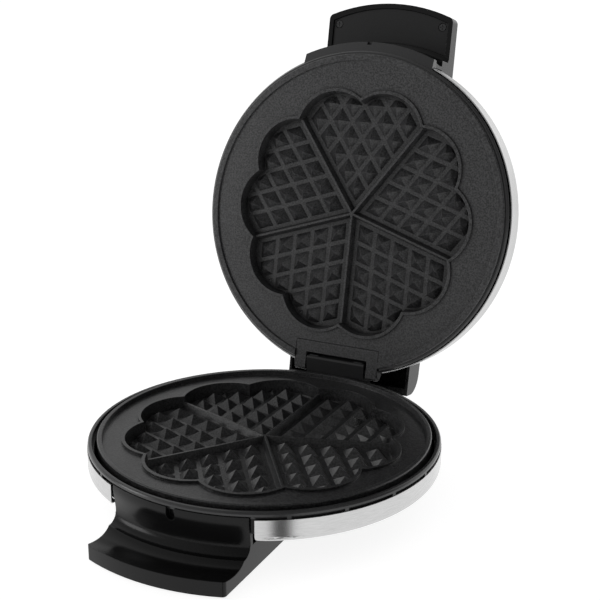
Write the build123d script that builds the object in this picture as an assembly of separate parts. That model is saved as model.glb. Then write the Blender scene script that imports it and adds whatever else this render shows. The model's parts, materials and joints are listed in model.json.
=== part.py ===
from build123d import *
import os
from math import asin, cos, degrees, radians, sin, sqrt

# A round waffle maker whose two plates bake a flower of five hearts.
#
# Every piece is drawn with the lid shut, about the middle of the plates: X to the right, Y towards
# the hinge, Z up, and Z = 0 on the plane where the two plates meet. At the end the lid is swung open
# about the hinge pin, and everything is moved so that the origin lies on the table, under the middle
# of the object's box.

# --- driving dimensions, millimetres and degrees ---
PARTING_HEIGHT = 38.5        # plane between the plates, above the table
BOX_MIDDLE_Y = 33.895        # middle of the open object's length, behind the middle of the plates
OPEN_ANGLE = 101.5           # the lid's travel
HINGE_Y = 108.9
HINGE_Z = 5.9
PLATE_GAP = 0.5              # between the closed plates

PLATE_R = 104.1              # lower plate
RIM_R = 101.0                # inner edge of its raised rim
RIM_TOP = 1.4                # the rim stands proud of the parting plane
LIP_R = 109.7                # flat lip of the upper plate, which fits round the lower rim
LIP_INNER_R = 105.1
LIP_T = 2.1
STEP_DEPTH = 1.5             # flat ring between the hearts and the rim, below the beads
UPPER_INSET = 1.0            # the upper flower is this much smaller all round
HEARTS = 5
SECTOR = 360 / HEARTS
NECK_R = 78.4                # where two lobes meet
LOBE_R = 87.2                # furthest reach of a lobe
BEAD = 2.2                   # width of the raised bead round the hearts
CAVITY_DEPTH = 8.5
WALL_LEAN = 1.2              # how far the cavity wall leans in over its depth
DIVIDER_BASE = 4.6
DIVIDER_TOP = 1.4
DIVIDER_DROP = 4.0           # divider crest below the bead
PYRAMID_PITCH = 13.5
PYRAMID_TOP = -3.5
STRIP = 2.8                  # flat strip between two pyramids
ROWS = 6
CASTING_BOTTOM = -12.5
BOSS_R = 98.0

HEATER_R = 60.0
HEATER_TUBE_R = 3.25
HEATER_Z = -13.0
HEATER_SWEEP = 320
LEG_BOTTOM = -31.0
REFLECTOR_R = 97.6
REFLECTOR_TOP = -18.4
REFLECTOR_T = 0.6
FIXING_R = 92.0              # circle of the three plate screws
FIXING_ANGLES = (30, 150, 270)

RING_R = 109.8               # lower bezel ring
RING_INNER_R = 107.0
RING_BOTTOM = -2.9
LID_RING_R = 112.0
LID_RING_EDGE = 5.0
WALL_R = 108.3               # plastic wall behind the steel
WALL_INNER_R = 106.0
FLOOR_TOP = -21.0
FLOOR_T = 2.5
SLOT_PITCH = 17.25
SLOT_START = -55.2
BAND_R = 110.2
STEEL_T = 0.8
BAND_TOP = -4.75
BAND_BOTTOM = -18.5
BAND_CURL = 4.0
SPINE_HALF = 44.0            # half width of the base spine
SPINE_BACK = 126.0
SPINE_BOTTOM = -37.0
SPINE_WALL = 2.5
HOLLOW_R = 106.3             # the spine is hollow up to the front wall
GLAND_X = -26.0
GLAND_Z = -29.2
GLAND_R = 5.2
CORD_HOLE_R = 3.6

BLOCK_HALF = 21.9            # hinge block
BLOCK_FRONT = 104.4
BLOCK_BACK = 118.0
BLOCK_TOP = 12.3
PIN_R = 2.5
PIN_HALF = 32.4

LID_HALF = 47.0              # half width of the lid handle
SHELL_R = 113.4
SHELL_BOTTOM = 6.6
STRIP_TOP = 7.9              # black strip between the ring and the steel in front
SHELL_TOP = 38.7
SHELL_CORNER_R = 12.0
DOME_R = 1030.0
HANDLE_BOTTOM = 39.0
HANDLE_TOP = 49.5
COVER_TOP = 42.2
KNOB_Y = -62.0
KNOB_R = 17.0
SHAFT_R = 3.0
LAMP_X = (-27.0, 27.0)
INLAY_HALF = 31.4
INLAY_FRONT = 92.7
INLAY_FACE = 2.0             # flush with the flat ring of the upper plate
NOTCH_HALF = 23.3

os.makedirs("parts", exist_ok=True)


# --- small helpers ---
def block(x, y, z):
    """A box between (low, high) pairs."""
    spans = (x, y, z)
    middle = [(low + high) / 2 for low, high in spans]
    return Pos(*middle) * Box(*[high - low for low, high in spans])


def upright(radius, x, y, z):
    """A cylinder along Z between two heights."""
    low, high = z
    return Pos(x, y, (low + high) / 2) * Cylinder(radius, high - low)


def crosswise(radius, x, y, z):
    """A cylinder along X between two widths."""
    low, high = x
    return Pos((low + high) / 2, y, z) * Rot(0, 90, 0) * Cylinder(radius, high - low)


def lengthwise(radius, x, y, z):
    """A cylinder along Y between two depths."""
    low, high = y
    return Pos(x, (low + high) / 2, z) * Rot(90, 0, 0) * Cylinder(radius, high - low)


def turned(points):
    """A body of revolution about Z from (radius, height) points."""
    return revolve(Plane.XZ * make_face(Polyline(*points, close=True)), Axis.Z)


def turned_edges(edges):
    """A body of revolution about Z from closed (radius, height) edges."""
    return revolve(Plane.XZ * make_face(edges), Axis.Z)


def polar(radius, angle):
    return (radius * cos(radians(angle)), radius * sin(radians(angle)))


def on_circle(radius, x):
    """The distance from the middle line at which a circle reaches a half width."""
    return sqrt(radius**2 - x**2)


def fixing_points():
    return [polar(FIXING_R, angle) for angle in FIXING_ANGLES]


def flip(shape):
    """The same piece for the lid: mirrored in the parting plane and lifted by the gap."""
    return Pos(0, 0, PLATE_GAP) * mirror(shape, about=Plane.XY)


def slotted_head(head_r, height, z):
    """A screw head about the origin with a cross cut in its outer face, pointing down."""
    cross_depth = height / 2
    head = upright(head_r, 0, 0, (z - height, z))
    arm = head_r * 0.7
    cross_z = (z - height, z - height + cross_depth)
    cross = block((-arm, arm), (-0.35, 0.35), cross_z) + block((-0.35, 0.35), (-arm, arm), cross_z)
    return head - cross


def screw(shank_r, head_r, head_height, head_z, tip_z):
    """A screw that points up, its head below head_z."""
    return slotted_head(head_r, head_height, head_z) + upright(shank_r, 0, 0, (head_z, tip_z))


# --- waffle plates ---
def flower(inset, z):
    """The outline of the five joined hearts, drawn in by inset, at a height."""
    arcs = []
    for i in range(2 * HEARTS):
        start = 90 + i * SECTOR / 2
        arcs.append(ThreePointArc(
            polar(NECK_R - inset, start),
            polar(LOBE_R - inset, start + SECTOR / 4),
            polar(NECK_R - inset, start + SECTOR / 2)))
    return Pos(0, 0, z) * make_face(arcs)


def cavity(inset):
    """The leaning-walled hollow that all five hearts share."""
    rise = 0.5
    lean = WALL_LEAN / CAVITY_DEPTH
    return loft([flower(inset - rise * lean, rise), flower(inset + WALL_LEAN, -CAVITY_DEPTH)], ruled=True)


def divider(angle):
    """The narrow ridge between two hearts."""
    foot = -CAVITY_DEPTH - 0.5
    half_base = DIVIDER_BASE / 2
    half_top = DIVIDER_TOP / 2
    section = Plane.YZ * make_face(Polyline(
        (-half_base, foot), (half_base, foot), (half_base, -CAVITY_DEPTH),
        (half_top, -DIVIDER_DROP), (-half_top, -DIVIDER_DROP), (-half_base, -CAVITY_DEPTH), close=True))
    return Rot(0, 0, angle) * extrude(section, NECK_R + 0.6)


def groove(offset, angle):
    """One straight V-shaped channel beside a divider, flat at its bottom."""
    half_strip = STRIP / 2
    half_mouth = PYRAMID_PITCH / 2 - 0.05
    sky = PYRAMID_TOP + 1
    section = Plane.YZ * make_face(Polyline(
        (offset - half_strip, -CAVITY_DEPTH), (offset + half_strip, -CAVITY_DEPTH),
        (offset + half_mouth, PYRAMID_TOP), (offset + half_mouth, sky),
        (offset - half_mouth, sky), (offset - half_mouth, PYRAMID_TOP), close=True))
    return Rot(0, 0, angle) * Pos(-20, 0, 0) * extrude(section, LOBE_R + 40)


def pyramid_field(inset):
    """The rows of pyramids in the heart that points to -Y."""
    foot = -CAVITY_DEPTH - 0.5
    left, right = -90 - SECTOR / 2, -90 + SECTOR / 2
    wedge = make_face(Polyline((0, 0), polar(110, left), polar(110, right), close=True))
    slab = Pos(0, 0, foot) * extrude(wedge, PYRAMID_TOP - foot)
    slab = slab & (Pos(0, 0, foot) * extrude(flower(inset + WALL_LEAN + 1.8, 0), PYRAMID_TOP - foot))
    first = DIVIDER_BASE / 2 + STRIP / 2
    for row in range(ROWS + 1):
        offset = first + row * PYRAMID_PITCH
        slab = slab - groove(-offset, right) - groove(offset, left)
    return slab


def lower_blank():
    """The lower casting without its pattern: flat ring, raised rim, skirt and boss."""
    return turned([
        (0, -STEP_DEPTH), (RIM_R - 0.4, -STEP_DEPTH), (RIM_R, RIM_TOP - 0.2), (RIM_R + 0.4, RIM_TOP),
        (PLATE_R - 0.6, RIM_TOP), (PLATE_R, RIM_TOP - 0.6), (PLATE_R, -9.0), (102.0, -9.0), (102.0, -6.0),
        (BOSS_R, -6.0), (BOSS_R, CASTING_BOTTOM), (0, CASTING_BOTTOM)])


def upper_blank():
    """The upper casting, face up: its flat ring is wider and ends in a thin lip."""
    return turned([
        (0, -STEP_DEPTH), (LIP_INNER_R, -STEP_DEPTH), (LIP_INNER_R, -0.3), (LIP_INNER_R + 0.3, 0),
        (LIP_R - 0.6, 0), (LIP_R, -0.6), (LIP_R, -LIP_T), (105.9, -LIP_T), (104.5, -3.6), (104.5, -9.0),
        (102.0, -9.0), (102.0, -6.0), (BOSS_R, -6.0), (BOSS_R, CASTING_BOTTOM), (0, CASTING_BOTTOM)])


def heater_groove():
    slack = 0.05
    return revolve(Plane.XZ * Pos(HEATER_R, HEATER_Z) * Circle(HEATER_TUBE_R + slack), Axis.Z)


def waffle_plate(plate, inset):
    """A plate, face up: the pattern worked into a blank."""
    plate = plate + Pos(0, 0, -STEP_DEPTH - 0.1) * extrude(flower(inset - BEAD, 0), STEP_DEPTH + 0.1)
    plate = plate - cavity(inset) - heater_groove()
    field = pyramid_field(inset)
    for i in range(HEARTS):
        plate = plate + divider(90 + i * SECTOR)
        plate = plate + Rot(0, 0, i * SECTOR) * field
    for x, y in fixing_points():
        plate = plate - upright(2.0, x, y, (CASTING_BOTTOM - 1, -6.5))
    return plate


def heating_element():
    """A tubular heater bent to a ring, with two legs that end in blades."""
    start = 90 + (360 - HEATER_SWEEP) / 2
    tube = Rot(0, 0, start) * revolve(
        Plane.XZ * Pos(HEATER_R, HEATER_Z) * Circle(HEATER_TUBE_R), Axis.Z, HEATER_SWEEP)
    for angle in (start, 180 - start):
        x, y = polar(HEATER_R, angle)
        tube = tube + Pos(x, y, HEATER_Z) * Sphere(HEATER_TUBE_R)
        tube = tube + upright(HEATER_TUBE_R, x, y, (LEG_BOTTOM + 5, HEATER_Z))
        tube = tube + block((x - 0.4, x + 0.4), (y - 3, y + 3), (LEG_BOTTOM, LEG_BOTTOM + 5.5))
    return tube


def leg_points():
    start = 90 + (360 - HEATER_SWEEP) / 2
    return [polar(HEATER_R, start), polar(HEATER_R, 180 - start)]


def heat_reflector():
    """A shallow bright pan between the heater and the housing."""
    bottom = REFLECTOR_TOP - REFLECTOR_T
    pan = turned([
        (0, REFLECTOR_TOP), (REFLECTOR_R - REFLECTOR_T, REFLECTOR_TOP), (REFLECTOR_R - REFLECTOR_T, -14.5),
        (REFLECTOR_R, -14.5), (REFLECTOR_R, bottom), (0, bottom)])
    for x, y in leg_points():
        pan = pan - upright(5.0, x, y, (-20, -18))
    for x, y in fixing_points():
        pan = pan - upright(2.2, x, y, (-20, -18))
    return pan


def sleeve(x, y, z):
    return upright(4.2, x, y, z) - upright(2.2, x, y, (z[0] - 1, z[1] + 1))


def plate_spacers():
    """Sleeves above and below the reflector at each plate screw."""
    sleeves = []
    for x, y in fixing_points():
        sleeves.append(sleeve(x, y, (REFLECTOR_TOP, CASTING_BOTTOM)))
        sleeves.append(sleeve(x, y, (FLOOR_TOP, REFLECTOR_TOP - REFLECTOR_T)))
    return Compound(children=sleeves)


def plate_screws():
    one = screw(1.95, 3.8, 2.4, FLOOR_TOP - FLOOR_T, -7.0)
    return Compound(children=[Pos(x, y, 0) * one for x, y in fixing_points()])


# --- base ---
def bridge_angles(front_half, back_half):
    """Angles of the small bridges across the vent slot, clear of the handle and the hinge."""
    front = degrees(asin(front_half / RING_R)) + 2
    back = degrees(asin(back_half / RING_R)) + 2
    angles = []
    for i in range(20):
        angle = SLOT_START + i * SLOT_PITCH
        away_from_front = abs((angle + 90 + 180) % 360 - 180)
        away_from_back = abs((angle - 90 + 180) % 360 - 180)
        if away_from_front > front and away_from_back > back:
            angles.append(angle)
    return angles


def bridges(outer_r, low, high):
    """Small blocks between a bezel ring and the steel."""
    tab = block((WALL_R + 0.02, outer_r - 0.1), (-1.2, 1.2), (low, high))
    return [Rot(0, 0, angle) * tab for angle in bridge_angles(SPINE_HALF + 3, 34)]


def lower_bezel_ring():
    ring = turned([
        (RING_INNER_R, -5.0), (WALL_R, -5.0), (WALL_R, RING_BOTTOM), (RING_R, RING_BOTTOM), (RING_R, -1.6),
        (RING_R - 0.4, -0.8), (109.0, -0.4), (RING_INNER_R + 0.4, -0.4), (RING_INNER_R, -0.8)])
    for tab in bridges(RING_R, BAND_TOP, RING_BOTTOM + 0.1):
        ring = ring + tab
    return ring - block((-22.6, 22.6), (100, 120), (-10, 5))


def steel_band():
    """A brushed band round the base, curled in below, open at the handle and the hinge."""
    turn_z = BAND_BOTTOM + BAND_CURL
    inner = BAND_R - STEEL_T
    curl_r = BAND_R - BAND_CURL
    lean = BAND_CURL * cos(radians(45))
    inner_lean = (BAND_CURL - STEEL_T) * cos(radians(45))
    lip_r = curl_r - 1.2
    band = turned_edges([
        Line((BAND_R, BAND_TOP), (BAND_R, turn_z)),
        ThreePointArc((BAND_R, turn_z), (curl_r + lean, turn_z - lean), (curl_r, BAND_BOTTOM)),
        Line((curl_r, BAND_BOTTOM), (lip_r, BAND_BOTTOM)),
        Line((lip_r, BAND_BOTTOM), (lip_r, BAND_BOTTOM + STEEL_T)),
        Line((lip_r, BAND_BOTTOM + STEEL_T), (curl_r, BAND_BOTTOM + STEEL_T)),
        ThreePointArc((curl_r, BAND_BOTTOM + STEEL_T), (curl_r + inner_lean, turn_z - inner_lean),
                      (inner, turn_z)),
        Line((inner, turn_z), (inner, BAND_TOP)),
        Line((inner, BAND_TOP), (BAND_R, BAND_TOP))])
    front_half = SPINE_HALF + 2.6
    corner = 3.0
    window = Plane.XZ * make_face([
        Line((-front_half, 0), (-front_half, BAND_BOTTOM + corner)),
        ThreePointArc((-front_half, BAND_BOTTOM + corner),
                      (-front_half - corner * 0.293, BAND_BOTTOM + corner * 0.293),
                      (-front_half - corner, BAND_BOTTOM)),
        Line((-front_half - corner, BAND_BOTTOM), (-front_half - corner, -25)),
        Line((-front_half - corner, -25), (front_half + corner, -25)),
        Line((front_half + corner, -25), (front_half + corner, BAND_BOTTOM)),
        ThreePointArc((front_half + corner, BAND_BOTTOM),
                      (front_half + corner * 0.293, BAND_BOTTOM + corner * 0.293),
                      (front_half, BAND_BOTTOM + corner)),
        Line((front_half, BAND_BOTTOM + corner), (front_half, 0)),
        Line((front_half, 0), (-front_half, 0))])
    band = band - extrude(window, 130)
    return band - block((-24.5, 24.5), (60, 130), (-30, 0))


def handle_section():
    """Front wall, undercut, ledge and dished grip of the base, as (radius, height) edges."""
    wall_top = RING_BOTTOM - 0.3
    crest = (115.4, -26.2)
    tip = (139.0, -27.0)
    wall = Spline((BAND_R, wall_top), (110.0, -10.5), (108.9, -17.5), (109.3, -22.3), (111.8, -25.3), crest)
    dish = Spline(crest, (118.2, -28.3), (124.5, -29.6), (131.5, -28.8), tip)
    inner = 106.5
    rest = Polyline(tip, (tip[0], SPINE_BOTTOM), (inner, SPINE_BOTTOM), (inner, -5.0), (108.5, -5.0),
                    (108.5, wall_top), (BAND_R, wall_top))
    return [wall, dish, rest]


def handle_plan(half, front_corner, front_middle, back, corner_r):
    """Plan of a grip: straight sides and a bowed front edge."""
    plan = make_face([
        Line((half, back), (-half, back)),
        Line((-half, back), (-half, front_corner)),
        ThreePointArc((-half, front_corner), (0, front_middle), (half, front_corner)),
        Line((half, front_corner), (half, back))])
    if corner_r:
        plan = fillet(plan.vertices().sort_by(Axis.Y)[:2], corner_r)
    return plan


def base_dish():
    bottom = FLOOR_TOP - FLOOR_T
    return turned([
        (0, bottom), (98.0, bottom), (WALL_R, -13.5), (WALL_R, -5.0), (WALL_INNER_R, -5.0),
        (WALL_INNER_R, -14.2), (97.0, FLOOR_TOP), (0, FLOOR_TOP)])


def cover_screw_points():
    return [(x, y) for x in (-34, 34) for y in (-76, 100)]


def spine_plan(half, back, front_r):
    """Plan of the spine's hollow: straight sides and back, round in front."""
    corner = -on_circle(front_r, half)
    return make_face([
        Line((-half, corner), (-half, back)),
        Line((-half, back), (half, back)),
        Line((half, back), (half, corner)),
        ThreePointArc((half, corner), (0, -front_r), (-half, corner))])


def lower_housing():
    """Dish, spine, front wall and lip of the base, in one moulding."""
    roof = FLOOR_TOP - FLOOR_T
    spine = block((-SPINE_HALF, SPINE_HALF), (-100, SPINE_BACK), (SPINE_BOTTOM, FLOOR_TOP))
    spine = fillet(spine.edges().filter_by(Axis.Z).group_by(Axis.Y)[-1], 8)
    plan = handle_plan(SPINE_HALF, -127.5, -135.5, -92, 2.5)
    grip = turned_edges(handle_section()) & (Pos(0, 0, SPINE_BOTTOM) * extrude(plan, 36))
    housing = base_dish() + spine + grip
    hollow = spine_plan(SPINE_HALF - SPINE_WALL, SPINE_BACK - SPINE_WALL, HOLLOW_R)
    housing = housing - Pos(0, 0, SPINE_BOTTOM - 1) * extrude(hollow, roof - SPINE_BOTTOM + 1)
    for x, y in cover_screw_points():
        housing = housing + upright(4.0, x, y, (-34.8, roof + 0.5))
        housing = housing - upright(1.55, x, y, (-36, -25))
    rib = block((WALL_R - 0.5, BAND_R - STEEL_T - 0.02), (-1, 1), (-13.0, -6.5))
    for angle in bridge_angles(SPINE_HALF + 3, 34):
        housing = housing + Rot(0, 0, angle) * rib
    notch = block((-2.7, 2.7), (-113, -106.8), (-8, -3)) + lengthwise(2.7, 0, (-113, -106.8), -8)
    housing = housing - notch
    seat = (BLOCK_FRONT - 0.2, BLOCK_BACK + 0.2)
    housing = housing - block((-22.1, 22.1), seat, (FLOOR_TOP, 0))
    for x, y in leg_points():
        housing = housing - upright(6.0, x, y, (-30, -20))
    for x, y in fixing_points():
        housing = housing - upright(2.2, x, y, (-30, -20))
    for x in (-14, 14):
        housing = housing - upright(2.2, x, 111, (-30, -20))
    return housing - lengthwise(GLAND_R + 0.03, GLAND_X, (110, 140), GLAND_Z)


def cable_gland():
    """Flanged bush in the back wall that the mains cord would pass through."""
    front, back = SPINE_BACK - 8, SPINE_BACK + 2
    bush = lengthwise(GLAND_R, GLAND_X, (front, back), GLAND_Z)
    bush = bush + lengthwise(7.0, GLAND_X, (SPINE_BACK + 0.05, back), GLAND_Z)
    return bush - lengthwise(CORD_HOLE_R, GLAND_X, (front - 1, back + 1), GLAND_Z)


def cord_clamp():
    """Saddle that grips the cord inside, standing on the bottom cover."""
    saddle = block((GLAND_X - 9, GLAND_X + 9), (104.4, 109.6), (-34.9, -24.0))
    saddle = saddle - lengthwise(CORD_HOLE_R + 0.2, GLAND_X, (100, 115), GLAND_Z)
    for x in (GLAND_X - 6.6, GLAND_X + 6.6):
        saddle = saddle - upright(1.15, x, 107, (-36, -26))
    return saddle


def cord_clamp_screws():
    one = screw(1.1, 2.3, 1.0, -35.7, -27)
    return Compound(children=[Pos(GLAND_X + x, 107, 0) * one for x in (-6.6, 6.6)])


def bottom_cover():
    """Flat lid that closes the spine from below."""
    plan = spine_plan(SPINE_HALF - SPINE_WALL - 0.2, SPINE_BACK - SPINE_WALL - 0.2, HOLLOW_R - 0.2)
    cover = Pos(0, 0, -36.8) * extrude(plan, 1.9)
    for x, y in cover_screw_points():
        cover = cover - upright(1.9, x, y, (-38, -34)) - upright(3.2, x, y, (-37, -35.9))
    for x in (GLAND_X - 6.6, GLAND_X + 6.6):
        cover = cover - upright(1.4, x, 107, (-38, -34)) - upright(2.6, x, 107, (-37, -35.7))
    for x, y in foot_points():
        cover = cover - upright(3.05, x, y, (-38, -34))
    for i in range(7):
        cover = cover - block((-18, 18), (-30 + 9 * i, -27 + 9 * i), (-38, -34))
    return cover


def bottom_cover_screws():
    one = screw(1.5, 2.9, 1.0, -35.9, -27)
    return Compound(children=[Pos(x, y, 0) * one for x, y in cover_screw_points()])


def foot_points():
    return [(x, y) for x in (-30, 30) for y in (-94, 114)]


def rubber_feet():
    sole = -PARTING_HEIGHT
    foot = upright(6.5, 0, 0, (sole, -36.8)) + upright(3.0, 0, 0, (-36.8, -34.6))
    foot = foot + upright(3.8, 0, 0, (-34.9, -33.6))
    return Compound(children=[Pos(x, y, 0) * foot for x, y in foot_points()])


def hinge_block():
    """The upright block at the back of the base that carries the pin."""
    body = block((-BLOCK_HALF, BLOCK_HALF), (BLOCK_FRONT, BLOCK_BACK), (FLOOR_TOP, BLOCK_TOP))
    top_edges = body.edges().filter_by(Axis.X).group_by(Axis.Z)[-1].sort_by(Axis.Y)
    body = fillet(top_edges[0], 1.5)
    body = fillet(body.edges().filter_by(Axis.X).group_by(Axis.Z)[-1].sort_by(Axis.Y)[-1], 5)
    for x in (-17, 17):
        body = body + block((x - 3.2, x + 3.2), (106.2, 108.6), (BLOCK_TOP - 1, BLOCK_TOP + 0.6))
    body = body - crosswise(PIN_R + 0.02, (-30, 30), HINGE_Y, HINGE_Z)
    for x in (-14, 14):
        body = body - upright(1.6, x, 111, (-22, -8))
    return body


def hinge_block_screws():
    one = screw(1.55, 3.2, 2.2, FLOOR_TOP - FLOOR_T, -9)
    return Compound(children=[Pos(x, 111, 0) * one for x in (-14, 14)])


def hinge_pin():
    return crosswise(PIN_R, (-PIN_HALF, PIN_HALF), HINGE_Y, HINGE_Z)


def hinge_pin_clips():
    clips = []
    for x in ((-32.2, -31.6), (31.6, 32.2)):
        clips.append(crosswise(3.8, x, HINGE_Y, HINGE_Z) - crosswise(PIN_R, (-40, 40), HINGE_Y, HINGE_Z))
    return Compound(children=clips)


def terminal_block():
    """Three-way block on the bottom cover."""
    body = block((8, 38), (70, 84), (-34.9, -26.5))
    for i in range(3):
        x = 13 + 10 * i
        body = body - upright(1.8, x, 77, (-29, -26)) - lengthwise(1.6, x, (69, 85), -31)
    return body


def wire(points, radius, bend):
    path = FilletPolyline(*points, radius=bend)
    return sweep(Plane(origin=path @ 0, z_dir=path % 0) * Circle(radius), path)


def base_leads():
    """Insulated leads from the terminal block to the two legs of the heater."""
    (left_x, leg_y), (right_x, _) = leg_points()
    near_x, far_x = right_x - 2.2, left_x + 2.2
    near = wire([(13, 69.9, -31), (13, 64, -31), (near_x, 62, -31), (near_x, leg_y, -29)], 1.3, 1.6)
    far = wire([(23, 69.9, -31), (23, 66.5, -31.5), (far_x, 64.5, -31.5), (far_x, leg_y, -29)], 1.3, 1.6)
    return Compound(children=[near, far])


# --- lid, drawn shut ---
def upper_plate():
    cast = waffle_plate(upper_blank(), UPPER_INSET)
    return flip(cast) - block((-31.7, 31.7), (92.4, 120), (-5, 30))


def upper_heat_reflector():
    return flip(heat_reflector()) - block((-31.9, 31.9), (92.2, 120), (-5, 30))


def lid_bezel_ring():
    """Bezel, vent bridges, inner wall with three ears, and the strip under the handle."""
    wall_top = PLATE_GAP - FLOOR_TOP + FLOOR_T
    ring = turned([
        (106.8, 3.6), (107.3, 3.1), (LID_RING_R - 0.9, 3.1), (LID_RING_R, 4.0), (LID_RING_R, LID_RING_EDGE),
        (WALL_R, LID_RING_EDGE), (WALL_R, wall_top), (WALL_INNER_R, wall_top), (WALL_INNER_R, 8.8),
        (106.8, 8.0)])
    for tab in bridges(LID_RING_R, LID_RING_EDGE - 0.1, SHELL_BOTTOM):
        ring = ring + tab
    rib = block((WALL_R - 0.5, SHELL_R - STEEL_T - 0.02), (-1, 1), (10, 19))
    for angle in bridge_angles(SPINE_HALF + 3, 34):
        ring = ring + Rot(0, 0, angle) * rib
    ear = block((86, WALL_INNER_R + 0.5), (-6, 6), (wall_top - FLOOR_T, wall_top))
    for angle in FIXING_ANGLES:
        ring = ring + Rot(0, 0, angle) * ear
    for x, y in fixing_points():
        ring = ring - upright(2.2, x, y, (15, 30))
    inner = SHELL_R + 0.4
    strip = turned([(108.0, 4.4), (111.9, 4.4), (118.4, 7.0), (118.7, 8.2), (118.2, 12.4), (inner, 12.4),
                    (inner, STRIP_TOP), (108.0, STRIP_TOP)])
    strip = strip & block((-47.6, 47.6), (-125, -90), (0, 20))
    strip = strip - block((-1.7, 1.7), (-125, -116.4), (5, 9.5))
    ring = ring + strip
    return ring - block((-32.6, 32.6), (92.4, 120), (-5, 30))


def dome_edges(skin):
    """Half section of the domed lid, drawn in by skin, down to the steel's lower edge."""
    side = SHELL_R - skin
    corner = SHELL_CORNER_R - skin
    dome = DOME_R - skin
    corner_x = SHELL_R - SHELL_CORNER_R
    dome_z = SHELL_TOP - DOME_R
    reach = DOME_R - SHELL_CORNER_R
    corner_z = dome_z + sqrt(reach**2 - corner_x**2)
    meet = (dome * corner_x / reach, dome_z + dome * (corner_z - dome_z) / reach)
    diagonal = corner * cos(radians(45))
    middle_x = meet[0] / 2
    middle = (middle_x, dome_z + on_circle(dome, middle_x))
    top = (0, dome_z + dome)
    return [
        Line((0, SHELL_BOTTOM), (side, SHELL_BOTTOM)),
        Line((side, SHELL_BOTTOM), (side, corner_z)),
        ThreePointArc((side, corner_z), (corner_x + diagonal, corner_z + diagonal), meet),
        ThreePointArc(meet, middle, top),
        Line(top, (0, SHELL_BOTTOM))]


def lid_shell():
    """The deep-drawn steel dome."""
    shell = turned_edges(dome_edges(0)) - turned_edges(dome_edges(STEEL_T))
    shell = shell - block((-33, 33), (90, 120), (0, 24.5))
    shell = shell - block((-47.9, 47.9), (-120, -90), (0, STRIP_TOP + 0.4))
    shell = shell - upright(5.2, 0, KNOB_Y, (20, 50))
    shell = shell - upright(7.0, 0, -30, (20, 50))
    for x, y in bracket_screw_points():
        shell = shell - upright(2.2, x, y, (20, 50))
    return shell


def bracket_screw_points():
    return [(-15, 88), (15, 88)]


def upper_handle():
    """Grip, front wall, spine over the dome and rear cover, in one moulding."""
    back = 125.0
    profile = Plane.YZ * make_face([
        Polyline((-110, 26), (104, 26), (back, 26), (back, 33)),
        ThreePointArc((back, 33), (121.2, 42.6), (110, 47.0)),
        ThreePointArc((110, 47.0), (-20, 51.6), (-152, HANDLE_TOP)),
        Polyline((-152, HANDLE_TOP), (-152, HANDLE_BOTTOM), (-110, HANDLE_BOTTOM), (-110, 26))])
    spine = Pos(-LID_HALF, 0, 0) * extrude(profile, 2 * LID_HALF)
    outline = handle_plan(LID_HALF, -140.4, -149.8, 130, 4)
    spine = spine & (extrude(outline, 60))
    inner = SHELL_R + 0.4
    wall = turned_edges([
        Line((inner, 13.0), (117.2, 13.0)),
        Spline((117.2, 13.0), (115.9, 20.0), (116.3, 29.0), (118.2, 35.5), (122.0, HANDLE_BOTTOM)),
        Polyline((122.0, HANDLE_BOTTOM), (122.0, 41), (104, 41), (104, 35), (inner, 26), (inner, 13.0))])
    wall = wall & block((-LID_HALF, LID_HALF), (-125, -80), (0, 45))
    handle = spine + wall
    handle = handle - turned_edges(dome_edges(-0.3)) - upright(SHELL_R + 0.4, 0, 0, (0, 22))
    handle = handle - block((-43.5, 43.5), (-98, 96), (20, 47))
    handle = handle - block((-45, 45), (95, 120), (20, 41.5))
    handle = handle - (Pos(0, 0, 38) * extrude(grip_recess(0), COVER_TOP - 38))
    handle = handle - (Pos(0, 0, COVER_TOP - 1) * extrude(grip_recess(2.6), 6))
    for x, y in cover_fixing_points():
        handle = handle + upright(3.4, x, y, (COVER_TOP, 47.5)) - upright(1.3, x, y, (COVER_TOP - 1, 46.8))
    for x, y in bracket_screw_points():
        top = 47.5
        handle = handle + (upright(4.2, x, y, (35.2, top)) - upright(1.6, x, y, (30, 45)))
    handle = handle - upright(KNOB_R + 1.0, 0, KNOB_Y, (49.0, 60)) - upright(3.8, 0, KNOB_Y, (40, 60))
    for x in LAMP_X:
        handle = handle - upright(3.1, x, KNOB_Y, (40, 60))
    return handle


def grip_recess(inset):
    """Plan of the recess in the underside of the grip."""
    half = 43.6 - inset
    front_corner = -137.2 + inset
    front_middle = -146.4 + inset
    back_r = 122.6 + inset
    back_corner = -on_circle(back_r, half)
    return make_face([
        ThreePointArc((-half, front_corner), (0, front_middle), (half, front_corner)),
        Line((half, front_corner), (half, back_corner)),
        ThreePointArc((half, back_corner), (0, -back_r), (-half, back_corner)),
        Line((-half, back_corner), (-half, front_corner))])


def cover_fixing_points():
    return [(-39.4, -134.6), (39.4, -134.6)]


def handle_cover():
    """Flat plate screwed into the underside of the grip."""
    cover = Pos(0, 0, COVER_TOP - 2.0) * extrude(grip_recess(0.15), 2.0)
    for x, y in cover_fixing_points():
        cover = cover - upright(3.0, x, y, (39, COVER_TOP - 0.9)) - upright(1.6, x, y, (39, 44))
    return cover


def handle_cover_screws():
    one = screw(1.25, 2.5, 1.1, COVER_TOP - 0.9, 46)
    return Compound(children=[Pos(x, y, 0) * one for x, y in cover_fixing_points()])


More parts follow.
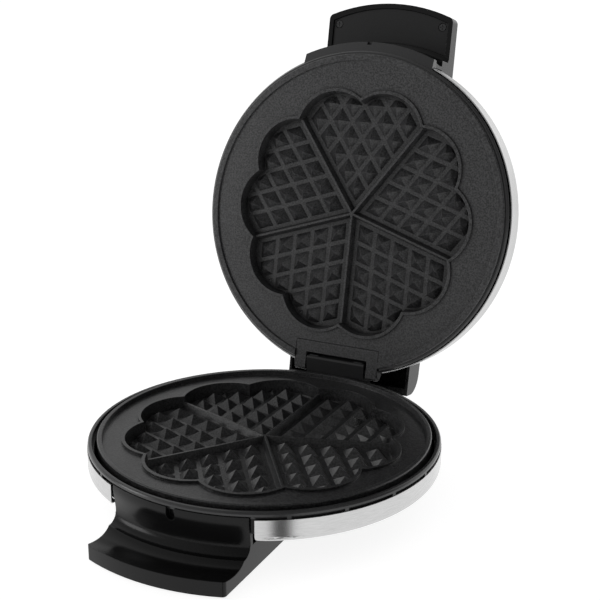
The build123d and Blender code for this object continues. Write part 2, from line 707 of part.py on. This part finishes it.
def hinge_bracket():
    """Inlay flush with the upper plate, two ears on the pin, and a web up to the spine."""
    half = INLAY_HALF
    inlay = block((-half, half), (INLAY_FRONT, 112), (INLAY_FACE, 8.0)) & upright(109.5, 0, 0, (0, 20))
    web = block((-half, half), (INLAY_FRONT, 96.9), (7, 32.0))
    flange = block((-24, 24), (84, 96.9), (30.2, 32.6))
    bracket = inlay + web + flange
    for x in ((-half, -NOTCH_HALF), (NOTCH_HALF, half)):
        ear = crosswise(5.5, x, HINGE_Y, HINGE_Z) + block(x, (98, HINGE_Y), (INLAY_FACE, HINGE_Z + 5.5))
        bracket = bracket + ear
    bracket = bracket - block((-half - 1, half + 1), (INLAY_FRONT - 1, 120), (-5, INLAY_FACE))
    bracket = bracket - block((-NOTCH_HALF, NOTCH_HALF), (100.9, 120), (-5, 20))
    bracket = bracket - crosswise(PIN_R + 0.08, (-40, 40), HINGE_Y, HINGE_Z)
    for x, y in bracket_screw_points():
        bracket = bracket + upright(4.2, x, y, (32, 33.4)) - upright(1.8, x, y, (25, 40))
    return bracket


def hinge_bracket_screws():
    one = screw(1.5, 3.2, 2.2, 30.2, 44)
    return Compound(children=[Pos(x, y, 0) * one for x, y in bracket_screw_points()])


def thermostat():
    """Capsule thermostat with a bush round the knob's shaft."""
    body = upright(13, 0, KNOB_Y, (22.5, 31.5)) + upright(4.8, 0, KNOB_Y, (31.5, 38.5))
    for x in (-8, 8):
        body = body + block((x - 3, x + 3), (KNOB_Y + 9, KNOB_Y + 17), (26.0, 26.8))
    return body - upright(SHAFT_R + 0.06, 0, KNOB_Y, (27, 40))


def thermostat_bracket():
    """Folded bracket that stands on the reflector under the thermostat."""
    reflector = PLATE_GAP - REFLECTOR_TOP + REFLECTOR_T
    top = block((-16, 16), (KNOB_Y - 10, KNOB_Y + 10), (21.7, 22.5))
    for side in (-1, 1):
        wall = sorted((side * 15.2, side * 16))
        foot = sorted((side * 15.2, side * 22))
        top = top + block(wall, (KNOB_Y - 10, KNOB_Y + 10), (reflector, 22.5))
        top = top + block(foot, (KNOB_Y - 10, KNOB_Y + 10), (reflector, reflector + 0.8))
    return top


def thermal_fuse():
    """Safety cut-out clipped to the reflector."""
    reflector = PLATE_GAP - REFLECTOR_TOP + REFLECTOR_T
    body = crosswise(2.2, (28, 42), -20, reflector + 2.6)
    clip = block((32, 38), (-23, -17), (reflector, reflector + 0.8))
    return body + clip + block((33, 37), (-21, -19), (reflector, reflector + 2))


def lamp_carrier():
    """Strip behind the two indicator lenses, hung from the roof of the spine."""
    strip = block((-34, 34), (KNOB_Y - 10, KNOB_Y + 10), (43.6, 45.2))
    for x in (-33, 33):
        strip = strip + block((x - 1, x + 1), (KNOB_Y - 5, KNOB_Y + 5), (45.2, 47.0))
    for x in LAMP_X:
        strip = strip + upright(2.4, x, KNOB_Y, (45.2, 46.0))
    return strip - upright(7, 0, KNOB_Y, (40, 50))


def indicator_lens(x):
    """A small round lens with a flange under the roof."""
    lens = upright(3.0, x, KNOB_Y, (46.0, 51.4)) + upright(4.4, x, KNOB_Y, (46.0, 47.0))
    return fillet(lens.edges().group_by(Axis.Z)[-1], 0.6)


def lid_leads():
    """Insulated leads from the thermostat and the fuse to the legs of the upper heater."""
    leg_z = PLATE_GAP - LEG_BOTTOM - 2
    (left_x, leg_y), (right_x, _) = leg_points()
    left = wire([(-8, KNOB_Y + 16, 28.2), (-8, KNOB_Y + 30, 28.2), (left_x + 2, -5, leg_z - 1),
                 (left_x + 2, leg_y - 1, leg_z)], 1.3, 4)
    right = wire([(43.2, -20, 22.5), (46, -12, 24), (40, 20, 28), (right_x + 2, leg_y - 1, leg_z)], 1.3, 3)
    return Compound(children=[left, right])


# --- knob ---
def control_knob():
    """Round knob with finger flutes and a pointer ridge."""
    low, high = 49.6, 58.6
    knob = upright(KNOB_R, 0, KNOB_Y, (low, high))
    knob = fillet(knob.edges().group_by(Axis.Z)[-1], 1.6)
    for i in range(24):
        x, y = polar(KNOB_R + 0.9, i * 15)
        knob = knob - upright(1.6, x, y + KNOB_Y, (low + 2.2, high + 1))
    knob = knob - block((-0.9, 0.9), (KNOB_Y - 15.4, KNOB_Y - 7.9), (high - 0.8, high + 1))
    return knob - upright(SHAFT_R, 0, KNOB_Y, (40, low + 6.5))


def knob_pointer():
    """White mark let into the knob."""
    return block((-0.85, 0.85), (KNOB_Y - 15.3, KNOB_Y - 8.0), (57.8, 58.7))


def knob_shaft():
    return upright(SHAFT_R, 0, KNOB_Y, (27.5, 56.1))


# --- assembly ---
base_pieces = {
    "lower_housing": lower_housing(),
    "bottom_cover": bottom_cover(),
    "bottom_cover_screws": bottom_cover_screws(),
    "rubber_feet": rubber_feet(),
    "steel_band": steel_band(),
    "lower_bezel_ring": lower_bezel_ring(),
    "lower_plate": waffle_plate(lower_blank(), 0),
    "lower_heating_element": heating_element(),
    "lower_heat_reflector": heat_reflector(),
    "lower_plate_spacers": plate_spacers(),
    "lower_plate_screws": plate_screws(),
    "hinge_block": hinge_block(),
    "hinge_block_screws": hinge_block_screws(),
    "hinge_pin": hinge_pin(),
    "hinge_pin_clips": hinge_pin_clips(),
    "terminal_block": terminal_block(),
    "base_leads": base_leads(),
    "cable_gland": cable_gland(),
    "cord_clamp": cord_clamp(),
    "cord_clamp_screws": cord_clamp_screws(),
}
lid_pieces = {
    "upper_handle": upper_handle(),
    "handle_cover": handle_cover(),
    "handle_cover_screws": handle_cover_screws(),
    "lid_shell": lid_shell(),
    "lid_bezel_ring": lid_bezel_ring(),
    "upper_plate": upper_plate(),
    "upper_heating_element": flip(heating_element()),
    "upper_heat_reflector": upper_heat_reflector(),
    "upper_plate_spacers": flip(plate_spacers()),
    "upper_plate_screws": flip(plate_screws()),
    "hinge_bracket": hinge_bracket(),
    "hinge_bracket_screws": hinge_bracket_screws(),
    "thermostat": thermostat(),
    "thermostat_bracket": thermostat_bracket(),
    "thermal_fuse": thermal_fuse(),
    "lamp_carrier": lamp_carrier(),
    "indicator_lens_red": indicator_lens(LAMP_X[0]),
    "indicator_lens_green": indicator_lens(LAMP_X[1]),
    "lid_leads": lid_leads(),
    "control_knob": control_knob(),
    "knob_pointer": knob_pointer(),
    "knob_shaft": knob_shaft(),
}

to_frame = Pos(0, -BOX_MIDDLE_Y, PARTING_HEIGHT)
swing_open = Pos(0, HINGE_Y, HINGE_Z) * Rot(-OPEN_ANGLE, 0, 0) * Pos(0, -HINGE_Y, -HINGE_Z)

placed = {name: to_frame * piece for name, piece in base_pieces.items()}
placed.update({name: to_frame * swing_open * piece for name, piece in lid_pieces.items()})
for name, piece in placed.items():
    export_step(piece, f"parts/{name}.step")

box = Compound(children=list(placed.values())).bounding_box()
print("box", box.min, box.max)
print("hinge axis at", (to_frame * Pos(0, HINGE_Y, HINGE_Z)).position)
knob_place = to_frame * swing_open * Pos(0, KNOB_Y, 50)
print("knob axis through", knob_place.position, "along", Plane(knob_place).z_dir)
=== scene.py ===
import json
from math import cos, radians, sin

import bmesh
import bpy
from mathutils import Matrix, Vector


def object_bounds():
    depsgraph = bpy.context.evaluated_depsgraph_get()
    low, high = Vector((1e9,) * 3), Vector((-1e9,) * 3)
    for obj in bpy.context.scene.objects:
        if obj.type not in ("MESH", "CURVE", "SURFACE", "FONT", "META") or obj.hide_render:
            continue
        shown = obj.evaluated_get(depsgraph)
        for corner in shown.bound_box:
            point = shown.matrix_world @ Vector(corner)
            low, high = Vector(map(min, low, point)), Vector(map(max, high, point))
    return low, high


# A round waffle maker with heart plates, standing open on a pale studio floor. All sizes are metres.

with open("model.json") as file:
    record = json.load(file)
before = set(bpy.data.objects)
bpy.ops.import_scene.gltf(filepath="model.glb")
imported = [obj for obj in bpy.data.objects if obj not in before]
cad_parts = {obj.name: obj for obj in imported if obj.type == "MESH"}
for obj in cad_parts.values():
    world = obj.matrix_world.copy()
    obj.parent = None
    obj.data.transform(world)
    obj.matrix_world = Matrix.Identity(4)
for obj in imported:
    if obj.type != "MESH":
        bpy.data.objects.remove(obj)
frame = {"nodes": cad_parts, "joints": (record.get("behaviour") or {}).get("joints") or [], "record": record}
cad_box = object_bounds()
MM = 0.001

# --- where things are, from the frame's hinge ---
hinge = next(joint for joint in frame["joints"] if joint["name"] == "lid_hinge")
HINGE = Vector(hinge["pos_m"])
OPEN_ANGLE = radians(hinge["range_deg"][1])
HINGE_BEHIND_PLATES = 108.9 * MM
HINGE_ABOVE_PLATES = 5.9 * MM
PLATE_CENTRE = HINGE - Vector((0, HINGE_BEHIND_PLATES, HINGE_ABOVE_PLATES))

to_base = Matrix.Translation(PLATE_CENTRE)
opening = Matrix.Translation(HINGE) @ Matrix.Rotation(-OPEN_ANGLE, 4, "X") @ Matrix.Translation(-HINGE)
to_lid = opening @ to_base


# --- node helpers ---
LEVEL = Vector((1, 1, 0))           # times a vector, leaves its X and Y
NOISE_LOW, NOISE_HIGH = 0.3, 0.7    # most of a noise texture's values lie between these


class Tree:
    """A node tree, with short calls for the nodes used here."""

    def __init__(self, tree):
        self.tree = tree

    def fill(self, socket, value):
        """Links a socket to another one, or gives it a value."""
        if isinstance(value, bpy.types.NodeSocket):
            self.tree.links.new(value, socket)
        else:
            socket.default_value = value

    def add(self, kind, inputs=None, **settings):
        node = self.tree.nodes.new(kind)
        for key, value in settings.items():
            setattr(node, key, value)
        for key, value in (inputs or {}).items():
            self.fill(node.inputs[key], value)
        return node

    def maths(self, operation, first, second):
        return self.add("ShaderNodeMath", {0: first, 1: second}, operation=operation).outputs["Value"]

    def vector_maths(self, operation, first, second=None, result="Vector"):
        inputs = {0: first} if second is None else {0: first, 1: second}
        return self.add("ShaderNodeVectorMath", inputs, operation=operation).outputs[result]

    def spread(self, value, low, high, start=NOISE_LOW, stop=NOISE_HIGH, **settings):
        """Maps the values between start and stop to a range."""
        return self.add("ShaderNodeMapRange", {
            "Value": value, "From Min": start, "From Max": stop, "To Min": low, "To Max": high},
            **settings).outputs["Result"]


class Material(Tree):
    """A new material with its shader, and the textures used here."""

    def __init__(self, name):
        self.material = bpy.data.materials.new(name)
        self.material.use_nodes = True
        super().__init__(self.material.node_tree)
        self.shader = self.tree.nodes["Principled BSDF"]

    def set(self, **values):
        """Sets shader sockets by name, with _ for a space."""
        for key, value in values.items():
            self.fill(self.shader.inputs[key.replace("_", " ")], value)

    def place(self, frame_matrix=None):
        """Object coordinates in metres, optionally seen from another frame."""
        here = self.add("ShaderNodeTexCoord").outputs["Object"]
        if frame_matrix is None:
            return here
        inverse = frame_matrix.inverted()
        return self.add("ShaderNodeMapping", {
            "Vector": here, "Location": inverse.to_translation(),
            "Rotation": inverse.to_euler()}).outputs["Vector"]

    def noise(self, vector, scale, detail=3.0, roughness=0.55):
        return self.add("ShaderNodeTexNoise", {
            "Vector": vector, "Scale": scale, "Detail": detail, "Roughness": roughness}).outputs["Fac"]

    def tint(self, value, dark, light, start=NOISE_LOW, stop=NOISE_HIGH):
        """Maps the values between start and stop to a colour between two."""
        ramp = self.add("ShaderNodeValToRGB", {"Fac": value})
        for element, position, colour in zip(ramp.color_ramp.elements, (start, stop), (dark, light)):
            element.position = position
            element.color = (*colour, 1)
        return ramp.outputs["Color"]

    def bump(self, height, strength, distance, normal=None):
        inputs = {"Height": height, "Strength": strength, "Distance": distance}
        if normal is not None:
            inputs["Normal"] = normal
        return self.add("ShaderNodeBump", inputs).outputs["Normal"]

    def soft_edges(self, radius):
        return self.add("ShaderNodeBevel", {"Radius": radius}, samples=6).outputs["Normal"]


# --- kinds of material ---
COOL = 1.03     # how much more blue than red and green the greys have


def grey(value):
    return (value, value, value * COOL)


GLOSS_BLOTCH = 28       # noise scale of the slow changes in gloss
GRAIN_HEIGHT = 0.15 * MM


def grained(name, dark, light, grain, roughness, relief, edge, specular=0.5, metallic=0.0):
    """Plastic or coated metal: fine grain, slow blotches in the gloss, and rounded edges."""
    m = Material(name)
    here = m.place()
    fine = m.noise(here, grain)
    blotch = m.noise(here, GLOSS_BLOTCH, detail=2)
    m.set(Base_Color=m.tint(fine, dark, light), Roughness=m.spread(blotch, *roughness), Metallic=metallic,
          Specular_IOR_Level=specular, Normal=m.bump(fine, relief, GRAIN_HEIGHT, m.soft_edges(edge)))
    return m.material


COAT_BLOTCH = 26
COAT_SPECULAR = 0.5
PEBBLE_SPAN = (0.36, 0.64)      # of the noise, between the coat's two colours
PEBBLE_HEIGHT = 0.2 * MM
PEBBLE_RELIEF = 0.6
# Painted shade in the coat: an ambient-occlusion mask darkens the colour and lowers the reflection deep in
# the heart pattern. It stops at the flat ring outside the hearts.
FLOWER_EDGE = (88 * MM, 91 * MM)    # radii where the hearts end and where the flat ring is reached
PAINTED_SHADE_REACH = 9 * MM            # how far the shading of a hollow looks around
PAINTED_SHADE_SPAN = (0.35, 0.95)       # openness from deep in the pattern to its ridges


def nonstick(name, frame_matrix, dark, light, grain, roughness, edge, deep):
    """Sprayed non-stick coat: pebbled grain, with painted shade that makes it darker and duller deep in the
    pattern.
    """
    m = Material(name)
    here = m.place(frame_matrix)
    radius = m.vector_maths("LENGTH", m.vector_maths("MULTIPLY", here, LEVEL), result="Value")
    outside = m.spread(radius, 0.0, 1.0, *FLOWER_EDGE)
    pebble = m.noise(here, grain, detail=2, roughness=0.6)
    blotch = m.noise(here, COAT_BLOTCH, detail=2)
    # painted shade: the colour and the reflection are darkened where the occlusion finds hollows
    occlusion = m.add("ShaderNodeAmbientOcclusion", {"Distance": PAINTED_SHADE_REACH}, samples=8).outputs["AO"]
    openness = m.maths("MAXIMUM", occlusion, outside)
    shade = m.spread(openness, deep, 1.0, *PAINTED_SHADE_SPAN)
    colour = m.tint(pebble, dark, light, *PEBBLE_SPAN)
    shaded = m.add("ShaderNodeMixRGB", {"Fac": 1.0, "Color1": colour, "Color2": shade}, blend_type="MULTIPLY")
    m.set(Base_Color=shaded.outputs["Color"], Roughness=m.spread(blotch, *roughness),
          Specular_IOR_Level=m.spread(openness, COAT_SPECULAR * deep, COAT_SPECULAR, *PAINTED_SHADE_SPAN),
          Normal=m.bump(pebble, PEBBLE_RELIEF, PEBBLE_HEIGHT, m.soft_edges(edge)))
    return m.material


STEEL_DARK, STEEL_LIGHT = 0.64 * 0.93, 0.64 * 1.06
STEEL_ROUGHNESS = (0.20, 0.28)
STEEL_CLOUD = 22
STEEL_EDGE = 0.3 * MM
BRUSH_SCALE = 4200
BRUSH_STRETCH = 0.004       # metres of noise for each radian round the axis, so that it draws out into lines
BRUSH_RELIEF = 0.12
BRUSH_HEIGHT = 0.05 * MM


def brushed(name, frame_matrix):
    """Sheet steel brushed round the axis of a frame."""
    m = Material(name)
    here = m.place(frame_matrix)
    split = m.add("ShaderNodeSeparateXYZ", {"Vector": here})
    x, y, z = (split.outputs[axis] for axis in "XYZ")
    flat = m.add("ShaderNodeCombineXYZ", {"X": x, "Y": y}).outputs["Vector"]
    radius = m.vector_maths("LENGTH", flat, result="Value")
    slow = m.maths("MULTIPLY", m.maths("ARCTAN2", y, x), BRUSH_STRETCH)
    unrolled = m.add("ShaderNodeCombineXYZ", {"X": radius, "Y": slow, "Z": z}).outputs["Vector"]
    lines = m.noise(unrolled, BRUSH_SCALE, detail=2)
    cloud = m.noise(here, STEEL_CLOUD, detail=2)
    axis = frame_matrix.to_3x3() @ Vector((0, 0, 1))
    arm = m.vector_maths("SUBTRACT", m.place(), frame_matrix.to_translation())
    grain_way = m.add("ShaderNodeVectorTransform", {"Vector": m.vector_maths("CROSS_PRODUCT", axis, arm)},
                      vector_type="VECTOR", convert_from="OBJECT", convert_to="WORLD")
    m.set(Base_Color=m.tint(lines, (STEEL_DARK,) * 3, (STEEL_LIGHT,) * 3), Metallic=1.0,
          Roughness=m.spread(cloud, *STEEL_ROUGHNESS), Anisotropic=0.8, Anisotropic_Rotation=0.25,
          Tangent=grain_way.outputs["Vector"],
          Normal=m.bump(lines, BRUSH_RELIEF, BRUSH_HEIGHT, m.soft_edges(STEEL_EDGE)))
    return m.material


LENS_RIPPLE = 900


def lens(name, colour):
    """Clear coloured plastic with a faint ripple."""
    m = Material(name)
    ripple = m.noise(m.place(), LENS_RIPPLE, detail=1)
    m.set(Base_Color=(*colour, 1), Roughness=m.spread(ripple, 0.08, 0.16), Transmission_Weight=0.35,
          Coat_Weight=0.6, Normal=m.bump(ripple, strength=0.05, distance=0.1 * MM))
    return m.material


SLEEVE_DARK = (0.62 * 0.6,) * 3
SLEEVE_LIGHT = (0.62, 0.62, 0.62 * 0.93)
WEAVE_SCALE = 420.0


def sleeve(name):
    """Braided glass sleeve."""
    m = Material(name)
    weave = m.add("ShaderNodeTexWave", {
        "Vector": m.place(), "Scale": WEAVE_SCALE, "Distortion": 3.0}).outputs["Fac"]
    m.set(Base_Color=m.tint(weave, SLEEVE_DARK, SLEEVE_LIGHT), Roughness=0.8,
          Normal=m.bump(weave, strength=0.5, distance=0.2 * MM))
    return m.material


# --- materials, by the record's slots ---
black = grained("housing_black", grey(0.004), grey(0.007), grain=1500, roughness=(0.16, 0.24),
                relief=0.06, edge=0.5 * MM, specular=0.22)
block_black = grained("hinge_block_black", grey(0.016), grey(0.024), grain=1500, roughness=(0.3, 0.38),
                      relief=0.10, edge=0.5 * MM, specular=0.4)
cover_black = grained("cover_black", grey(0.009), grey(0.015), grain=1700, roughness=(0.36, 0.46),
                      relief=0.14, edge=0.3 * MM, specular=0.3)
bezel_black = grained("bezel_black", grey(0.024), grey(0.034), grain=1500, roughness=(0.20, 0.28),
                      relief=0.06, edge=0.3 * MM)
# Both plates carry the same coat. The lower plate's copy is given darker colours than the lid plate's: a
# shaded and a lit copy, painted shade and painted light. Deep sets how dark the painted shade in the pattern
# gets, and 1.0 leaves none.
lower_coat = nonstick("lower_coat", to_base, grey(0.006), grey(0.045), grain=900, roughness=(0.26, 0.36),
                      edge=0.35 * MM, deep=0.85)
upper_coat = nonstick("upper_coat", to_lid, grey(0.010), grey(0.060), grain=900, roughness=(0.27, 0.36),
                      edge=0.35 * MM, deep=0.55)
bracket_coat = nonstick("bracket_coat", to_lid, grey(0.014), grey(0.060), grain=900, roughness=(0.36, 0.46),
                        edge=0.35 * MM, deep=1.0)
rubber = grained("foot_rubber", grey(0.014), grey(0.022), grain=900, roughness=(0.75, 0.9),
                 relief=0.4, edge=0.4 * MM, specular=0.3)
heater = grained("heater_sheath", grey(0.16), (0.26, 0.23, 0.19), grain=600, roughness=(0.4, 0.6),
                 relief=0.2, edge=0.2 * MM, metallic=0.9)
reflector = grained("reflector_sheet", grey(0.62), grey(0.75), grain=500, roughness=(0.18, 0.3),
                    relief=0.08, edge=0.2 * MM, metallic=1.0)
zinc = grained("zinc_steel", grey(0.45), grey(0.62), grain=700, roughness=(0.25, 0.4),
               relief=0.1, edge=0.2 * MM, metallic=1.0)
screw_steel = grained("screw_steel", grey(0.16), grey(0.26), grain=1400, roughness=(0.32, 0.45),
                      relief=0.1, edge=0.12 * MM, metallic=1.0)
dark_screw = grained("dark_screw", grey(0.02), grey(0.04), grain=1400, roughness=(0.4, 0.5),
                     relief=0.1, edge=0.12 * MM, specular=0.4)
pin_steel = grained("pin_steel", grey(0.40), grey(0.5), grain=1400, roughness=(0.2, 0.3),
                    relief=0.08, edge=0.2 * MM, metallic=1.0)
terminal = grained("terminal_white", (0.62, 0.6, 0.54), (0.7, 0.68, 0.62), grain=900, roughness=(0.45, 0.6),
                   relief=0.1, edge=0.2 * MM, specular=0.4)
steatite = grained("thermostat_body", (0.6, 0.53, 0.42), (0.7, 0.63, 0.5), grain=1100, roughness=(0.6, 0.75),
                   relief=0.2, edge=0.2 * MM, specular=0.4)
pointer = grained("pointer_white", grey(0.72), grey(0.8), grain=1200, roughness=(0.3, 0.4),
                  relief=0.05, edge=0.1 * MM)
knob_black = grained("knob_black", grey(0.010), grey(0.015), grain=1500, roughness=(0.30, 0.38),
                     relief=0.08, edge=0.3 * MM, specular=0.4)

by_slot = {
    "housing_black": black, "cover_black": cover_black, "bezel_black": bezel_black, "knob_black": knob_black,
    "foot_rubber": rubber, "nonstick_coat": upper_coat, "bracket_coat": bracket_coat, "heater_sheath": heater,
    "reflector_sheet": reflector, "zinc_steel": zinc, "screw_steel": screw_steel, "pin_steel": pin_steel,
    "terminal_white": terminal, "thermostat_body": steatite, "pointer_white": pointer,
    "lead_sleeve": sleeve("lead_sleeve"),
    "lens_red": lens("lens_red", (0.5, 0.02, 0.015)), "lens_green": lens("lens_green", (0.02, 0.36, 0.07)),
}
# These nodes look different from the rest of their slot. The lower plate's coat is a darker copy of the lid
# plate's, in the base's frame: painted shade.
by_node = {"handle_cover_screws": dark_screw, "hinge_pin": dark_screw, "hinge_pin_clips": dark_screw,
           "hinge_block": block_black, "lower_plate": lower_coat}
steel_frames = {"steel_band": to_base, "lid_shell": to_lid}
for part in frame["record"]["subparts"]:
    name = part["node"]
    if name in steel_frames:
        finish = brushed("steel_" + name, steel_frames[name])
    else:
        finish = by_node.get(name, by_slot[part["material_slot"]])
    surfaces = frame["nodes"][name].data.materials
    surfaces.clear()
    surfaces.append(finish)

# --- floor: pale paper, lit mostly by its own glow. Glossy parts mirror the world's table in its place. ---
FLOOR_HALF = 12.0
PAPER_DARK, PAPER_LIGHT = (0.39,) * 3, (0.41,) * 3
PAPER_GLOW = 0.88
PAPER_SCALE = 3.0
floor_mesh = bpy.data.meshes.new("studio_floor")
edit = bmesh.new()
quarters = ((-1, -1), (1, -1), (1, 1), (-1, 1))
edit.faces.new([edit.verts.new((x * FLOOR_HALF, y * FLOOR_HALF, 0)) for x, y in quarters])
edit.to_mesh(floor_mesh)
edit.free()
floor = bpy.data.objects.new("studio_floor", floor_mesh)
bpy.context.scene.collection.objects.link(floor)
paper = Material("studio_paper")
paper_grain = paper.noise(paper.place(), PAPER_SCALE)
paper.set(Base_Color=paper.tint(paper_grain, PAPER_DARK, PAPER_LIGHT), Roughness=0.9,
          Specular_IOR_Level=0.1, Emission_Color=(1, 1, 1, 1), Emission_Strength=PAPER_GLOW)
floor_mesh.materials.append(paper.material)
floor.visible_glossy = False


def direction(azimuth, elevation):
    """A unit vector away from the object. Azimuth 0 is in front of it and 90 to its right."""
    az, el = radians(azimuth), radians(elevation)
    return Vector((sin(az) * cos(el), -cos(az) * cos(el), sin(el)))


# --- world: soft lights over a dim sky, and below the horizon the white table that the steel mirrors ---
SKY_BASE = 0.11
# The strongest light stands behind on the right, and a broad one on the left. Two weak ones fill in, one
# behind on the left and one low in front on the right. Each is given as azimuth, elevation, strength, and the
# cosines of the angles from its middle at which it starts and is full.
SKY_LOBES = ((-80, 20, 0.46, 0.0, 0.9), (222, 20, 0.26, 0.5, 0.97), (30, 0, 0.12, 0.2, 0.95),
             (152, 16, 1.0, 0.74, 0.93))
TABLE_GLOW = 1.0
HORIZON_BLUR = 0.03         # sine of the elevation at which sky and table are each alone
GAP_AZIMUTH = 38            # middle of the one dark gap in the table
GAP_CORE = cos(radians(3.5))    # facing value from which the gap is black
GAP_EDGE = cos(radians(8))      # facing value at which it ends
world = bpy.data.worlds.new("studio_world")
world.use_nodes = True
sky = Tree(world.node_tree)
background = world.node_tree.nodes["Background"]
background.inputs["Color"].default_value = (1, 1, 1, 1)
looking = sky.add("ShaderNodeTexCoord").outputs["Generated"]


def smooth(value, start, stop, low, high):
    return sky.spread(value, low, high, start, stop, interpolation_type="SMOOTHSTEP")


def facing(vector, toward):
    """The cosine of the angle between a unit vector and a direction."""
    return sky.vector_maths("DOT_PRODUCT", vector, toward, result="Value")


above = SKY_BASE
for azimuth, elevation, strength, start, full in SKY_LOBES:
    lobe = smooth(facing(looking, direction(azimuth, elevation)), start, full, 0.0, strength)
    above = sky.maths("ADD", above, lobe)
heading = sky.vector_maths("NORMALIZE", sky.vector_maths("MULTIPLY", looking, LEVEL))
gap = smooth(facing(heading, direction(GAP_AZIMUTH, 0)), GAP_EDGE, GAP_CORE, 1.0, 0.0)
height = facing(looking, Vector((0, 0, 1)))
table = smooth(height, HORIZON_BLUR, -HORIZON_BLUR, 0.0, TABLE_GLOW)
sky_share = smooth(height, -HORIZON_BLUR, HORIZON_BLUR, 0.0, 1.0)
total = sky.maths("ADD", sky.maths("MULTIPLY", table, gap), sky.maths("MULTIPLY", sky_share, above))
sky.fill(background.inputs["Strength"], total)
bpy.context.scene.world = world
bpy.context.scene.view_settings.view_transform = "Standard"

# --- softboxes ---
OBJECT_CENTRE = (cad_box[0] + cad_box[1]) / 2


def softbox(name, azimuth, elevation, distance, size, watts):
    """An area light that faces the object."""
    light = bpy.data.lights.new(name, "AREA")
    light.shape = "RECTANGLE"
    light.size, light.size_y = size
    light.energy = watts
    lamp = bpy.data.objects.new(name, light)
    bpy.context.scene.collection.objects.link(lamp)
    away = direction(azimuth, elevation)
    lamp.location = OBJECT_CENTRE + away * distance
    lamp.rotation_euler = away.to_track_quat("Z", "Y").to_euler()


softbox("overhead", azimuth=190, elevation=72, distance=1.6, size=(1.4, 1.0), watts=0.5)
softbox("left_key", azimuth=-55, elevation=12, distance=1.5, size=(0.5, 0.5), watts=3)

# --- camera: in front on the right and a little above, aimed above the plate's centre and right of it ---
AZIMUTH, ELEVATION, ROLL = 26.225, 16.994, radians(0.335)
DISTANCE = 0.70075
AIM_RIGHT, AIM_UP = 0.021915, 0.081341
LENS, SENSOR = 66.95, 36
away = direction(AZIMUTH, ELEVATION)
level_right = Vector((cos(radians(AZIMUTH)), sin(radians(AZIMUTH)), 0))
level_up = away.cross(level_right)
right = cos(ROLL) * level_right + sin(ROLL) * level_up
up = cos(ROLL) * level_up - sin(ROLL) * level_right
camera_data = bpy.data.cameras.new("camera")
camera_data.lens = LENS
camera_data.sensor_width = SENSOR
camera = bpy.data.objects.new("camera", camera_data)
bpy.context.scene.collection.objects.link(camera)
stand = PLATE_CENTRE + away * DISTANCE + right * AIM_RIGHT + up * AIM_UP
camera.matrix_world = Matrix.Translation(stand) @ Matrix((right, up, away)).transposed().to_4x4()
bpy.context.scene.camera = camera
